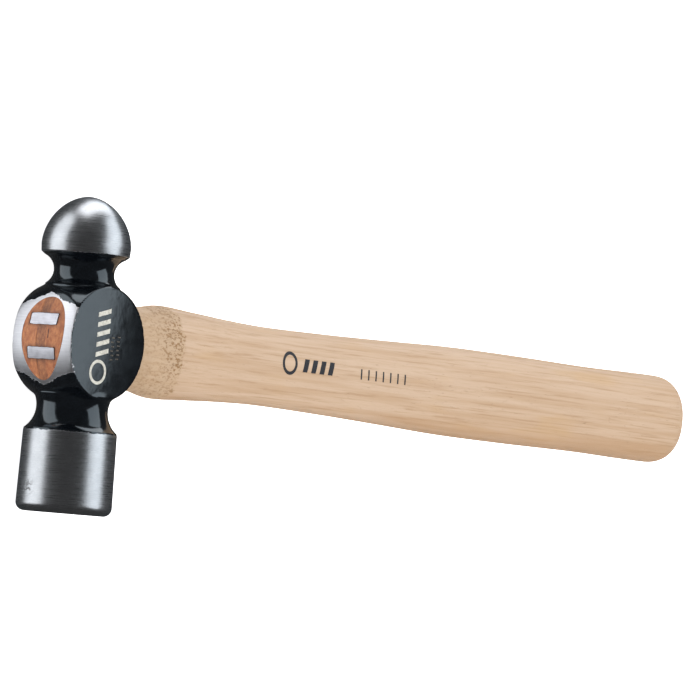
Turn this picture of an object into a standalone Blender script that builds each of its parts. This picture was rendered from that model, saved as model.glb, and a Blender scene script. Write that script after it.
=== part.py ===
"""Ball peen hammer, 0.22 kg class, lying on its side.

Head axis along Y with the peen at +Y, handle along +X, cheeks facing +Z and -Z. Metres.
Each sub-part is drawn in the hammer's own frame, whose origin is where the head's axis crosses
the handle's, and hangs from one empty that puts the hammer on the ground.
"""

import math

import bmesh
import bpy
from mathutils import Matrix, Vector

MM = 0.001

# Driving dimensions, in millimetres.
HEAD_LENGTH = 80.0
PEEN_REACH = 36.8
TOTAL_LENGTH = 278.2
FIT_GAP = 0.3

PEEN_RADIUS = 11.3
PEEN_DOME_HEIGHT = 12.6
PEEN_DOME_POWER = 1.85
PEEN_RIM_HEIGHT = 2.0
PEEN_RIM_TAPER = 0.15

PEEN_NECK_RADIUS = 7.65
PEEN_NECK_PLACE = 17.7
PEEN_NECK_HOLLOW = 4.1
PEEN_HOLLOW_ARC = (112.0, 240.0)
FACE_NECK_RADIUS = 9.05
FACE_NECK_PLACE = -16.8
FACE_NECK_HOLLOW = 6.9
FACE_HOLLOW_ARC = (148.0, 232.0)

FACE_RADIUS = 12.15
FACE_SHOULDER_RADIUS = 11.85
FACE_SHOULDER_PLACE = -22.9
FACE_EDGE_ROUND = 2.2

CHEEK_HALF_WIDTH = 10.2
CHEEK_RADIUS = 14.0
CHEEK_EDGE_ROUND = 0.5
BODY_RADIUS = 16.3

EYE_TOP = 14.7
EYE_TOP_CROWN_RADIUS = 21.0
# Half height and half width of the eye, at its top, waist and handle end.
EYE_TOP_OVAL = (10.9, 6.9)
EYE_WAIST_OVAL = (9.6, 5.8)
EYE_HANDLE_OVAL = (10.0, 6.4)
EYE_WAIST_PLACE = 1.0

# Distance from the head's axis, half height, half width and roundness of the handle's sections.
# The roundness is a superellipse power: 2 is an ellipse, more is squarer.
HANDLE_STATIONS = (
    (20.5, 10.8, 8.1, 2.0),
    (29.0, 12.0, 9.3, 2.1),
    (41.0, 11.5, 8.7, 2.2),
    (57.0, 10.75, 7.7, 2.3),
    (72.0, 10.4, 7.3, 2.35),
    (99.0, 10.8, 7.7, 2.4),
    (125.0, 11.5, 8.5, 2.4),
    (153.0, 12.35, 9.4, 2.35),
    (185.0, 12.55, 9.8, 2.3),
    (220.0, 12.45, 10.0, 2.3),
    (244.0, 12.8, 10.3, 2.25),
    (255.0, 12.9, 10.3, 2.2),
)
# The handle leans a little towards the face: this far for each millimetre past the eye.
HANDLE_LEAN = 0.0047
BUTT_ROUND_LENGTH = 8.0
BUTT_ROUND_DEPTH = 5.7

WOOD_WEDGE_DEPTH = 19.0
WOOD_WEDGE_THICKNESS = (3.2, 1.1)
STEEL_WEDGE_DEPTH = 12.0
STEEL_WEDGE_THICKNESS = (3.1, 0.9)
STEEL_WEDGE_WIDTH = 9.0
STEEL_WEDGE_PLACES = {"steel_wedge_peen_side": 4.8, "steel_wedge_face_side": -3.8}

# How finely round shapes are cut.
TURNING_STEPS = 60
CROWN_STEPS = 160
DOME_STEPS = 9
HOLLOW_STEPS = 12
ROUND_STEPS = 4
BARREL_STEPS = 8
OVAL_POINTS = 36
EYE_RINGS = 11
TENON_RINGS = 9
RINGS_PER_STATION = 3
BUTT_RINGS = 6
MERGE_DISTANCE = 0.00001

# How far cutters run past what they cut, and the block that grinding clears away.
BEYOND = 6.0
GRINDING_BLOCK = (30.0, 34.0, 40.0)
TENON_SETBACK = 1.0

COLOURS = {
    "black_lacquer": ((0.012, 0.013, 0.016, 1.0), 0.18, 0.0),
    "hickory": ((0.72, 0.50, 0.29, 1.0), 0.5, 0.0),
    "wedge_wood": ((0.33, 0.15, 0.06, 1.0), 0.6, 0.0),
    "wedge_steel": ((0.55, 0.55, 0.60, 1.0), 0.35, 1.0),
}


def clear_scene():
    for obj in list(bpy.data.objects):
        bpy.data.objects.remove(obj, do_unlink=True)


def new_collection(name):
    collection = bpy.data.collections.new(name)
    bpy.context.scene.collection.children.link(collection)
    return collection


def new_material(name):
    colour, roughness, metallic = COLOURS[name]
    material = bpy.data.materials.new(name)
    material.use_nodes = True
    shader = material.node_tree.nodes["Principled BSDF"]
    shader.inputs["Base Color"].default_value = colour
    shader.inputs["Roughness"].default_value = roughness
    shader.inputs["Metallic"].default_value = metallic
    return material


def object_from(bm, name, collection, parent):
    """Makes an object of this bmesh, which is drawn in millimetres."""
    bmesh.ops.scale(bm, vec=(MM, MM, MM), verts=bm.verts)
    bmesh.ops.recalc_face_normals(bm, faces=bm.faces)
    mesh = bpy.data.meshes.new(name)
    bm.to_mesh(mesh)
    bm.free()
    obj = bpy.data.objects.new(name, mesh)
    obj.parent = parent
    collection.objects.link(obj)
    return obj


def as_cutter(obj):
    obj.hide_render = True
    obj.display_type = "WIRE"
    return obj


def add_boolean(obj, other, operation):
    modifier = obj.modifiers.new(f"{operation.lower()} {other.name}", "BOOLEAN")
    modifier.operation = operation
    modifier.solver = "EXACT"
    modifier.object = other


def arc(centre_place, centre_radius, radius, start, stop, steps):
    """Points (radius from the axis, place along it) of an arc between two angles in degrees."""
    points = []
    for i in range(steps + 1):
        angle = math.radians(start + (stop - start) * i / steps)
        points.append((centre_radius + radius * math.cos(angle), centre_place + radius * math.sin(angle)))
    return points


def turned(name, profile, collection, parent):
    """An object turned about its own Z from a profile that runs from its top to its bottom."""
    bm = bmesh.new()
    verts = [bm.verts.new((radius * MM, 0.0, place * MM)) for radius, place in profile]
    for upper, lower in zip(verts, verts[1:]):
        bm.edges.new((upper, lower))
    mesh = bpy.data.meshes.new(name)
    bm.to_mesh(mesh)
    bm.free()
    obj = bpy.data.objects.new(name, mesh)
    obj.parent = parent
    collection.objects.link(obj)
    screw = obj.modifiers.new("turning", "SCREW")
    screw.steps = TURNING_STEPS
    screw.render_steps = TURNING_STEPS
    screw.use_merge_vertices = True
    screw.merge_threshold = MERGE_DISTANCE
    return obj


def peen_profile():
    """The dome of the ball, from its tip down to its rim."""
    points = []
    for i in range(DOME_STEPS + 1):
        angle = math.radians(90.0 * i / DOME_STEPS)
        power = 2.0 / PEEN_DOME_POWER
        radius = PEEN_RADIUS * math.sin(angle) ** power
        drop = PEEN_DOME_HEIGHT * (1.0 - max(math.cos(angle), 0.0) ** power)
        points.append((radius, PEEN_REACH - drop))
    rim_place = PEEN_REACH - PEEN_DOME_HEIGHT - PEEN_RIM_HEIGHT
    points.append((PEEN_RADIUS - PEEN_RIM_TAPER, rim_place))
    return points


def head_profile():
    """The turned outline of the head, without the body around the eye."""
    peen_hollow = arc(
        PEEN_NECK_PLACE, PEEN_NECK_RADIUS + PEEN_NECK_HOLLOW, PEEN_NECK_HOLLOW,
        *PEEN_HOLLOW_ARC, HOLLOW_STEPS,
    )
    face_hollow = arc(
        FACE_NECK_PLACE, FACE_NECK_RADIUS + FACE_NECK_HOLLOW, FACE_NECK_HOLLOW,
        *FACE_HOLLOW_ARC, HOLLOW_STEPS,
    )
    face_place = PEEN_REACH - HEAD_LENGTH
    edge = arc(
        face_place + FACE_EDGE_ROUND, FACE_RADIUS - FACE_EDGE_ROUND, FACE_EDGE_ROUND,
        0.0, -90.0, ROUND_STEPS,
    )
    shoulder = [(FACE_SHOULDER_RADIUS, FACE_SHOULDER_PLACE)]
    return peen_profile() + peen_hollow + face_hollow + shoulder + edge + [(0.0, face_place)]


def body_profile():
    """Half of the barrel round the eye, turned about the cheeks' normal."""
    sag = BODY_RADIUS - CHEEK_RADIUS
    barrel = (CHEEK_HALF_WIDTH**2 + sag**2) / (2.0 * sag)
    top = CHEEK_HALF_WIDTH
    points = [(0.0, top), (CHEEK_RADIUS - CHEEK_EDGE_ROUND, top)]
    reach = top - CHEEK_EDGE_ROUND
    for i in range(BARREL_STEPS + 1):
        place = reach - 2.0 * reach * i / BARREL_STEPS
        radius = BODY_RADIUS - barrel + math.sqrt(barrel**2 - place**2)
        points.append((radius, place))
    points += [(CHEEK_RADIUS - CHEEK_EDGE_ROUND, -top), (0.0, -top)]
    return points


def oval_points(half_height, half_width, power):
    """A superellipse of even turn about X, as (y, z) pairs."""
    points = []
    for i in range(OVAL_POINTS):
        angle = 2.0 * math.pi * i / OVAL_POINTS
        y = half_height * math.copysign(abs(math.cos(angle)) ** (2.0 / power), math.cos(angle))
        z = half_width * math.copysign(abs(math.sin(angle)) ** (2.0 / power), math.sin(angle))
        points.append((y, z))
    return points


def lean_at(x):
    """How far the handle's middle is off the eye's, where it is x from the head's axis."""
    return -HANDLE_LEAN * max(x - BODY_RADIUS - BEYOND, 0.0)


def loft(name, sections, collection, parent):
    """A closed solid through oval sections, each given as (x, half height, half width, power)."""
    bm = bmesh.new()
    rings = []
    for x, half_height, half_width, power in sections:
        outline = oval_points(half_height, half_width, power)
        rings.append([bm.verts.new((x, y + lean_at(x), z)) for y, z in outline])
    for ring, following in zip(rings, rings[1:]):
        for i in range(OVAL_POINTS):
            j = (i + 1) % OVAL_POINTS
            bm.faces.new((ring[i], ring[j], following[j], following[i]))
    bm.faces.new(rings[0])
    bm.faces.new(rings[-1])
    return object_from(bm, name, collection, parent)


def eye_half_sizes(x):
    """Half height and half width of the eye where it is x from the head's axis."""
    if x < EYE_WAIST_PLACE:
        end, reach = EYE_TOP_OVAL, EYE_WAIST_PLACE + EYE_TOP
    else:
        end, reach = EYE_HANDLE_OVAL, BODY_RADIUS - EYE_WAIST_PLACE
    share = ((x - EYE_WAIST_PLACE) / reach) ** 2
    return [waist + (wide - waist) * share for waist, wide in zip(EYE_WAIST_OVAL, end)]


def eye_sections(start, stop, count, gap):
    """Oval sections that follow the eye between two places, made smaller all round by a gap."""
    sections = []
    for i in range(count):
        x = start + (stop - start) * i / (count - 1)
        half_height, half_width = eye_half_sizes(x)
        sections.append((x, half_height - gap, half_width - gap, 2.0))
    return sections


def between(before, start, stop, after, share):
    """A Catmull-Rom value between start and stop."""
    return 0.5 * (
        2.0 * start
        + (stop - before) * share
        + (2.0 * before - 5.0 * start + 4.0 * stop - after) * share**2
        + (3.0 * start - before - 3.0 * stop + after) * share**3
    )


def smooth_sections(stations):
    """Sections through every station, with RINGS_PER_STATION steps from one to the next."""
    padded = [stations[0], *stations, stations[-1]]
    sections = []
    for before, start, stop, after in zip(padded, padded[1:], padded[2:], padded[3:]):
        for i in range(RINGS_PER_STATION):
            share = i / RINGS_PER_STATION
            x = start[0] + (stop[0] - start[0]) * share
            sizes = [between(*values, share) for values in zip(before[1:], start[1:], stop[1:], after[1:])]
            sections.append((x, *sizes))
    sections.append(stations[-1])
    return sections


def butt_sections():
    """The rounded end of the handle, down to its flat butt."""
    _, half_height, half_width, power = HANDLE_STATIONS[-1]
    end = TOTAL_LENGTH - EYE_TOP
    sections = []
    for i in range(1, BUTT_RINGS + 1):
        angle = math.radians(90.0 * i / BUTT_RINGS)
        inset = BUTT_ROUND_DEPTH * (1.0 - math.cos(angle))
        x = end - BUTT_ROUND_LENGTH * (1.0 - math.sin(angle))
        sections.append((x, half_height - inset, half_width - inset, power))
    return sections


def ground_cutter(collection, parent):
    """What grinding takes off the top of the eye: all that is outside a crowned surface."""
    bm = bmesh.new()
    bmesh.ops.create_cone(
        bm, cap_ends=True, segments=CROWN_STEPS, depth=6.0 * CHEEK_HALF_WIDTH,
        radius1=EYE_TOP_CROWN_RADIUS, radius2=EYE_TOP_CROWN_RADIUS,
        matrix=Matrix.Translation((EYE_TOP_CROWN_RADIUS - EYE_TOP, 0.0, 0.0)),
    )
    crown = as_cutter(object_from(bm, "eye_top_crown", collection, parent))
    bm = bmesh.new()
    block = Matrix.Translation((-EYE_TOP - BEYOND, 0.0, 0.0)) @ Matrix.Diagonal((*GRINDING_BLOCK, 1.0))
    bmesh.ops.create_cube(bm, size=1.0, matrix=block)
    cutter = as_cutter(object_from(bm, "grinding", collection, parent))
    add_boolean(cutter, crown, "DIFFERENCE")
    return cutter


def wedge(name, place, width, thickness, depth, along_y, grow, collection, parent):
    """A wedge driven in at the eye's top, or with grow above 0 the slot that holds it."""
    bm = bmesh.new()
    bmesh.ops.create_cube(bm, size=1.0)
    outer = -EYE_TOP - BEYOND
    tip = -EYE_TOP + depth + grow
    slope = (thickness[0] - thickness[1]) / depth
    for vert in bm.verts:
        at_tip = vert.co.x > 0.0
        thick = thickness[1] if at_tip else thickness[0] + slope * BEYOND
        across = math.copysign(0.5 * thick + grow, vert.co.y if not along_y else vert.co.z)
        run = math.copysign(0.5 * width + grow, vert.co.z if not along_y else vert.co.y)
        y, z = (run, across) if along_y else (across, run)
        vert.co = Vector((tip if at_tip else outer, place + y, z))
    return object_from(bm, name, collection, parent)


def build_head(parts, cutters, root, grinding):
    head = turned("hammer_head", head_profile(), parts, root)
    head.rotation_euler = (math.radians(-90.0), 0.0, 0.0)
    head.data.materials.append(new_material("black_lacquer"))
    body = as_cutter(turned("eye_body", body_profile(), cutters, root))
    through = eye_sections(-EYE_TOP - BEYOND, BODY_RADIUS + BEYOND, EYE_RINGS, 0.0)
    eye = as_cutter(loft("eye_hole", through, cutters, root))
    add_boolean(head, body, "UNION")
    add_boolean(head, grinding, "DIFFERENCE")
    add_boolean(head, eye, "DIFFERENCE")
    return head


def build_handle(parts, root, grinding, slots):
    tenon = eye_sections(-EYE_TOP - BEYOND, BODY_RADIUS - TENON_SETBACK, TENON_RINGS, FIT_GAP)
    sections = tenon + smooth_sections(HANDLE_STATIONS) + butt_sections()
    handle = loft("handle", sections, parts, root)
    handle.data.materials.append(new_material("hickory"))
    add_boolean(handle, grinding, "DIFFERENCE")
    for slot in slots:
        add_boolean(handle, slot, "DIFFERENCE")
    return handle


def build_wood_wedge(parts, cutters, root, grinding, steel_slots):
    """The wooden wedge fills the eye from end to end, so its ends are cut to the eye's oval."""
    length = 2.0 * EYE_TOP_OVAL[0] + BEYOND
    sizes = (0.0, length, WOOD_WEDGE_THICKNESS, WOOD_WEDGE_DEPTH, True)
    piece = wedge("wood_wedge", *sizes, 0.0, parts, root)
    piece.data.materials.append(new_material("wedge_wood"))
    inside = eye_sections(-EYE_TOP - 2.0 * BEYOND, EYE_WAIST_PLACE + BEYOND, TENON_RINGS, FIT_GAP)
    room = as_cutter(loft("eye_room", inside, cutters, root))
    add_boolean(piece, room, "INTERSECT")
    add_boolean(piece, grinding, "DIFFERENCE")
    for slot in steel_slots:
        add_boolean(piece, slot, "DIFFERENCE")
    return as_cutter(wedge("kerf", *sizes, FIT_GAP, cutters, root))


def build_steel_wedges(parts, cutters, root, grinding):
    material = new_material("wedge_steel")
    slots = []
    for name, place in STEEL_WEDGE_PLACES.items():
        sizes = (place, STEEL_WEDGE_WIDTH, STEEL_WEDGE_THICKNESS, STEEL_WEDGE_DEPTH, False)
        piece = wedge(name, *sizes, 0.0, parts, root)
        piece.data.materials.append(material)
        add_boolean(piece, grinding, "DIFFERENCE")
        slots.append(as_cutter(wedge(f"{name}_slot", *sizes, FIT_GAP, cutters, root)))
    return slots


def build():
    clear_scene()
    parts = new_collection("ball_peen_hammer")
    cutters = new_collection("cutters")
    root = bpy.data.objects.new("hammer_frame", None)
    parts.objects.link(root)
    middle_x = 0.5 * TOTAL_LENGTH - EYE_TOP
    middle_y = PEEN_REACH - 0.5 * HEAD_LENGTH
    root.location = (-middle_x * MM, -middle_y * MM, FACE_RADIUS * MM)
    grinding = ground_cutter(cutters, root)
    steel_slots = build_steel_wedges(parts, cutters, root, grinding)
    kerf = build_wood_wedge(parts, cutters, root, grinding, steel_slots)
    build_head(parts, cutters, root, grinding)
    build_handle(parts, root, grinding, [kerf, *steel_slots])


build()
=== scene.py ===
"""Looks for the ball peen hammer: finer meshes, materials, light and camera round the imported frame.

Shapes are worked out in millimetres in the hammer's own frame: the head's axis is Y with the ball
at +Y, the handle runs along +X and the cheeks face +Z and -Z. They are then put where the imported
nodes are.
"""

import math

import bmesh
import bpy
import numpy as np
from mathutils import Matrix, Vector, noise


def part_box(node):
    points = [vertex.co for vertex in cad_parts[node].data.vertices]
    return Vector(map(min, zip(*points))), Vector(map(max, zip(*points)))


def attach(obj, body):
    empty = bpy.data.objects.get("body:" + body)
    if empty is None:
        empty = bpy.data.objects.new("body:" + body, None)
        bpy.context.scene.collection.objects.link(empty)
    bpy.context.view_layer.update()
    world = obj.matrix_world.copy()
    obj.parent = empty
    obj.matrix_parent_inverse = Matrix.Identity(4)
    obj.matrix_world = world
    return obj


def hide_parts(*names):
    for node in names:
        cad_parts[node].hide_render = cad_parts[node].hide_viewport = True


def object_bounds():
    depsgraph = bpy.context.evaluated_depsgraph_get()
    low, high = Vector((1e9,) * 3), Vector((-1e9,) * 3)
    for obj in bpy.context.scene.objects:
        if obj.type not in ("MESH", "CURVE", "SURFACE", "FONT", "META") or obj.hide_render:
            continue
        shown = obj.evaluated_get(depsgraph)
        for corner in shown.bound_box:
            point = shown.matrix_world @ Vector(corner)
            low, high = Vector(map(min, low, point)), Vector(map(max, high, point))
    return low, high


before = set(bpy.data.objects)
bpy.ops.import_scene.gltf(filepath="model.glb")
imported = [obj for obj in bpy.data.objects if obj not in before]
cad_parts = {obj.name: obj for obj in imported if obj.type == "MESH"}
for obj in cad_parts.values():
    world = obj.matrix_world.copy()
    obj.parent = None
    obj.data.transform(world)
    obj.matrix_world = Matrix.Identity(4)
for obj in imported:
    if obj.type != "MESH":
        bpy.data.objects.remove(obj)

CAD_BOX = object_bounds()
MM = 0.001

# The head, in millimetres.
HEAD_LENGTH = 80.0
PEEN_REACH = 36.8
PEEN_RADIUS = 11.3
PEEN_DOME_HEIGHT = 12.6
PEEN_DOME_POWER = 1.85
PEEN_RIM_HEIGHT = 2.0
PEEN_RIM_TAPER = (0.12, 0.1)
PEEN_RIM_BEVEL = ((0.14, 0.12), (0.3, -0.06))
PEEN_NECK_RADIUS = 7.65
PEEN_NECK_PLACE = 17.7
PEEN_NECK_HOLLOW = 4.1
PEEN_HOLLOW_ARC = (112.0, 236.0)
FACE_NECK_RADIUS = 9.05
FACE_NECK_PLACE = -16.8
FACE_NECK_HOLLOW = 6.9
FACE_HOLLOW_ARC = (150.0, 232.0)
FACE_RADIUS = 12.15
FACE_SHOULDER_RADIUS = 11.85
FACE_SHOULDER_PLACE = -22.9
FACE_EDGE_ROUND = 2.2
CHEEK_HALF_WIDTH = 10.2
CHEEK_RADIUS = 14.0
BODY_RADIUS = 16.3
CORE_RADIUS = 8.4
PEEN_CORE_PLACE = 12.0
FACE_CORE_PLACE = -11.0
EYE_TOP = 14.7
EYE_TOP_CROWN_RADIUS = 21.0
EYE_TOP_SIDE_FALL = 1.25
CHEEK_DOME = 0.30
TIP_RADIUS = 0.02

# How far the core, cheeks and ground top run into the body, in millimetres.
CORE_BLEND = 0.9
CHEEK_BLEND = 0.45
CROWN_BLEND = 0.3

# The ground patch: half its height at the cheeks, how much higher it is between them, and where it stops.
GROUND_HALF_HEIGHT = 8.1
GROUND_RISE = 3.7
GROUND_RISE_POWER = 1.25
GROUND_BACK = 6.0

# The eye: half height and half width at its top, waist and handle end, and how egg-shaped it is.
EYE_TOP_OVAL = (10.9, 6.9)
EYE_WAIST_OVAL = (9.6, 5.8)
EYE_HANDLE_OVAL = (10.0, 6.4)
EYE_WAIST_PLACE = 1.0
EYE_EGG = 0.14
EYE_SHIFT = 0.6
EYE_TILT = 0.035
SEEN_GAP = 0.17

# Distance from the head's axis, half height, half width and roundness of the handle's sections.
HANDLE_STATIONS = (
    (20.5, 10.8, 8.1, 2.0),
    (29.0, 12.0, 9.3, 2.1),
    (41.0, 11.5, 8.7, 2.2),
    (57.0, 10.75, 7.7, 2.3),
    (72.0, 10.4, 7.3, 2.35),
    (99.0, 10.8, 7.7, 2.4),
    (125.0, 11.5, 8.5, 2.4),
    (153.0, 12.35, 9.4, 2.35),
    (185.0, 12.55, 9.8, 2.3),
    (220.0, 12.45, 10.0, 2.3),
    (244.0, 12.8, 10.3, 2.25),
    (255.0, 12.9, 10.3, 2.2),
)
HANDLE_LEAN = 0.0047
LEAN_START = 22.3
BUTT_ROUND_LENGTH = 8.0
BUTT_ROUND_DEPTH = 5.7

# The wedges, with their thickness at the top and at the tip, in millimetres.
WEDGE_CORNER = 0.35
WOOD_WEDGE_DEPTH = 19.0
WOOD_WEDGE_THICKNESS = (3.2, 1.1)
STEEL_WEDGE_DEPTH = 12.0
STEEL_WEDGE_THICKNESS = (3.1, 0.9)
STEEL_WEDGE_WIDTH = 9.0
STEEL_WEDGE_WOBBLE = 0.12
STEEL_WEDGE_SHIFT = 0.6
STEEL_WEDGE_PROUD = 0.06
STEEL_WEDGE_PLACES = {"steel_wedge_peen_side": 4.8, "steel_wedge_face_side": -3.8}
STEEL_PIECES = {
    "steel_wedge_peen_side": "dressed_wedge_upper",
    "steel_wedge_face_side": "dressed_wedge_lower",
}

# How much smaller a wedge is than its middle size, and its slot larger, and how far a slot runs past it.
WOOD_GROW = 0.03
STEEL_GROW = 0.13
SLOT_PROUD = 2.0
SLOT_EXTRA = 0.5

# The marks: how far they stand proud of a surface and reach into it.
MARK_PROUD = 0.03
STAMP_PROUD = 0.012
MARK_SUNK = 0.05
RING_RADIUS = 3.1

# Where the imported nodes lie.
HEAD_LOW, HEAD_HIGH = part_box("hammer_head")
HANDLE_LOW, HANDLE_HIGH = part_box("handle")
TOTAL_LENGTH = (HANDLE_HIGH.x - HANDLE_LOW.x) / MM
CENTRE = Vector((
    HANDLE_LOW.x + EYE_TOP * MM,
    HEAD_HIGH.y - PEEN_REACH * MM,
    0.5 * (HEAD_LOW.z + HEAD_HIGH.z),
))

FLOOR_HEIGHT = CAD_BOX[0][2]

# Where the tenon meets the handle, and where the ball's rim meets the neck, in the hammer's frame.
TENON_END = BODY_RADIUS - 1.0
BALL_RIM_PLACE = PEEN_REACH - PEEN_DOME_HEIGHT - PEEN_RIM_HEIGHT

# How fine the meshes are, as counts and as steps in millimetres.
DOME_POINTS = 60
PEEN_HOLLOW_POINTS = 38
FACE_HOLLOW_POINTS = 40
FACE_EDGE_POINTS = 14
RIM_STEP = 0.4
UNDER_RIM_STEP = 0.2
CORE_STEP = 0.17
SHOULDER_STEP = 0.15
SIDE_STEP = 0.6
FACE_STEP = 0.8
EYE_RINGS = 42
EYE_POINTS = 120
TURNS = 320
GROUND_TURNS = 150
GROUND_HALF_ANGLE = math.radians(42.0)
HANDLE_RING_STEP = 0.9
HANDLE_POINTS = 88
CAP_RINGS = 14
HEAD_SHARP_ANGLE = 24.0
HANDLE_SHARP_ANGLE = 40.0

# Where the bright steel carries nicks, and how far each runs.
NICKS = (((-11.2, 31.0, -0.4), 2.4), ((-12.0, -37.3, -1.7), 3.0), ((6.0, 29.0, 8.0), 2.0))

# The short crack in the end grain: its middle and half its length.
CRACK_Y = 1.1
CRACK_Z = 2.9
CRACK_REACH = 1.4

# The lacquer's gloss, a little blue.
LACQUER_IOR = 1.7
LACQUER_TINT = (0.80, 0.92, 1.0, 1.0)

# The camera's angles in degrees, its distance in metres, its lens, and its aim in the hammer's frame.
CAMERA_AZIMUTH = -87.16
CAMERA_ELEVATION = 38.24
CAMERA_ROLL = -93.12
CAMERA_DISTANCE = 1.2077
CAMERA_LENS = 226.3
CAMERA_AIM = (121.38, 7.81, -8.71)

# The softboxes at the sides: degrees up from +X, and how far the right one is turned.
RIGHT_ANGLE = 53.4
RIGHT_TWIST = -24.0
LEFT_ANGLE = 219.0
SIDE_RADIANCE = 1.42


# ---------------------------------------------------------------- mesh helpers

def new_object(name, points, faces, material, smooth_angle=35.0):
    """A mesh object from points in the hammer's frame, in millimetres."""
    placed = np.asarray(points, float) * MM + np.array(CENTRE)
    mesh = bpy.data.meshes.new(name)
    mesh.from_pydata(placed.tolist(), [], [list(map(int, face)) for face in faces])
    mesh.materials.append(material)
    obj = bpy.data.objects.new(name, mesh)
    bpy.context.scene.collection.objects.link(obj)
    mesh.shade_smooth()
    mesh.set_sharp_from_angle(angle=math.radians(smooth_angle))
    mesh.update()
    return obj


def grid_faces(rows, columns, close=True):
    """Quads between rows of points, where each row is a closed ring if close is set."""
    across = columns if close else columns - 1
    faces = []
    for i in range(rows - 1):
        for j in range(across):
            k = (j + 1) % columns
            faces.append((i * columns + j, i * columns + k, (i + 1) * columns + k, (i + 1) * columns + j))
    return faces


def end_faces(rows, columns):
    """The two faces that close a stack of rings."""
    first = tuple(range(columns - 1, -1, -1))
    return [first, tuple(range((rows - 1) * columns, rows * columns))]


def cut(obj, cutter):
    """Takes cutter out of obj for good; the cutter itself is left for the caller to remove."""
    modifier = obj.modifiers.new("cut", "BOOLEAN")
    modifier.operation = "DIFFERENCE"
    modifier.solver = "MANIFOLD"
    modifier.object = cutter
    graph = bpy.context.evaluated_depsgraph_get()
    mesh = bpy.data.meshes.new_from_object(obj.evaluated_get(graph), depsgraph=graph)
    obj.modifiers.clear()
    old = obj.data
    obj.data = mesh
    bpy.data.meshes.remove(old)
    return obj


def drop(obj):
    bpy.data.objects.remove(obj, do_unlink=True)


def store(obj, name, values):
    """Keeps one number for each of the object's points, for its material to read."""
    attribute = obj.data.attributes.new(name, "FLOAT", "POINT")
    attribute.data.foreach_set("value", np.asarray(values, np.float32))


def local_points(obj):
    """The object's points in the hammer's frame, in millimetres."""
    flat = np.empty(len(obj.data.vertices) * 3)
    obj.data.vertices.foreach_get("co", flat)
    return (flat.reshape(-1, 3) - np.array(CENTRE)) / MM


def smooth_min(a, b, reach):
    mixed = np.maximum(reach - np.abs(a - b), 0.0) / reach
    return np.minimum(a, b) - mixed**2 * reach * 0.25


def smooth_max(a, b, reach):
    return -smooth_min(-a, -b, reach)


def roughness_of(points, scale, seed=0.0):
    """Noise from -1 to 1 at each point, with features about scale millimetres across."""
    offset = Vector((seed, 2.0 * seed, -seed))
    return np.array([noise.noise(Vector(p) / scale + offset) for p in points])


# ---------------------------------------------------------------- head

def arc(centre_place, centre_radius, radius, start, stop, count):
    """Points (radius, place) on an arc from start to stop, in degrees."""
    angles = np.radians(np.linspace(start, stop, count))
    return np.stack([centre_radius + radius * np.cos(angles), centre_place + radius * np.sin(angles)], 1)


def straight(start, stop, step):
    """Points (radius, place) from start to stop, step apart, without the last one."""
    start, stop = np.array(start, float), np.array(stop, float)
    count = max(int(np.linalg.norm(stop - start) / step), 1)
    shares = np.arange(count)[:, None] / count
    return start + (stop - start) * shares


def head_profile():
    """The turned outline of the head, as (radius, place) rows from the ball's tip to the face."""
    angles = np.radians(np.linspace(0.0, 90.0, DOME_POINTS))
    power = 2.0 / PEEN_DOME_POWER
    dome = np.stack([
        PEEN_RADIUS * np.sin(angles) ** power,
        PEEN_REACH - PEEN_DOME_HEIGHT * (1.0 - np.clip(np.cos(angles), 0.0, 1.0) ** power),
    ], 1)
    dome[0, 0] = TIP_RADIUS
    rim_end, *rim_edge = [
        (PEEN_RADIUS - inwards, BALL_RIM_PLACE + up) for inwards, up in (PEEN_RIM_TAPER, *PEEN_RIM_BEVEL)
    ]
    rim = straight(dome[-1], rim_end, RIM_STEP)[1:]
    peen_hollow = arc(
        PEEN_NECK_PLACE, PEEN_NECK_RADIUS + PEEN_NECK_HOLLOW, PEEN_NECK_HOLLOW,
        *PEEN_HOLLOW_ARC, PEEN_HOLLOW_POINTS,
    )
    face_hollow = arc(
        FACE_NECK_PLACE, FACE_NECK_RADIUS + FACE_NECK_HOLLOW, FACE_NECK_HOLLOW,
        *FACE_HOLLOW_ARC, FACE_HOLLOW_POINTS,
    )
    under_rim = straight(rim_edge[-1], peen_hollow[0], UNDER_RIM_STEP)[1:]
    core_top, core_bottom = (CORE_RADIUS, PEEN_CORE_PLACE), (CORE_RADIUS, FACE_CORE_PLACE)
    core = np.concatenate([
        straight(peen_hollow[-1], core_top, CORE_STEP)[1:],
        straight(core_top, core_bottom, CORE_STEP),
        straight(core_bottom, face_hollow[0], CORE_STEP),
    ])
    face_place = PEEN_REACH - HEAD_LENGTH
    shoulder = (FACE_SHOULDER_RADIUS, FACE_SHOULDER_PLACE)
    step_out = straight(face_hollow[-1], shoulder, SHOULDER_STEP)[1:]
    edge = arc(
        face_place + FACE_EDGE_ROUND, FACE_RADIUS - FACE_EDGE_ROUND, FACE_EDGE_ROUND,
        0.0, -90.0, FACE_EDGE_POINTS,
    )
    side = straight(shoulder, edge[0], SIDE_STEP)
    face_middle = (TIP_RADIUS, face_place)
    face = straight(edge[-1], face_middle, FACE_STEP)[1:]
    return np.concatenate([
        dome, rim, rim_edge, under_rim, peen_hollow, core, face_hollow, step_out, side, edge, face,
        [face_middle],
    ])


def turn_angles():
    """Angles round the head's axis, closer together where the eye's top is. Half a turn is -X."""
    start, stop = math.pi - GROUND_HALF_ANGLE, math.pi + GROUND_HALF_ANGLE
    fine = np.linspace(start, stop, GROUND_TURNS)
    rest = np.linspace(stop, start + 2.0 * math.pi, TURNS - GROUND_TURNS + 2)
    return np.concatenate([fine, rest[1:-1]])


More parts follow.
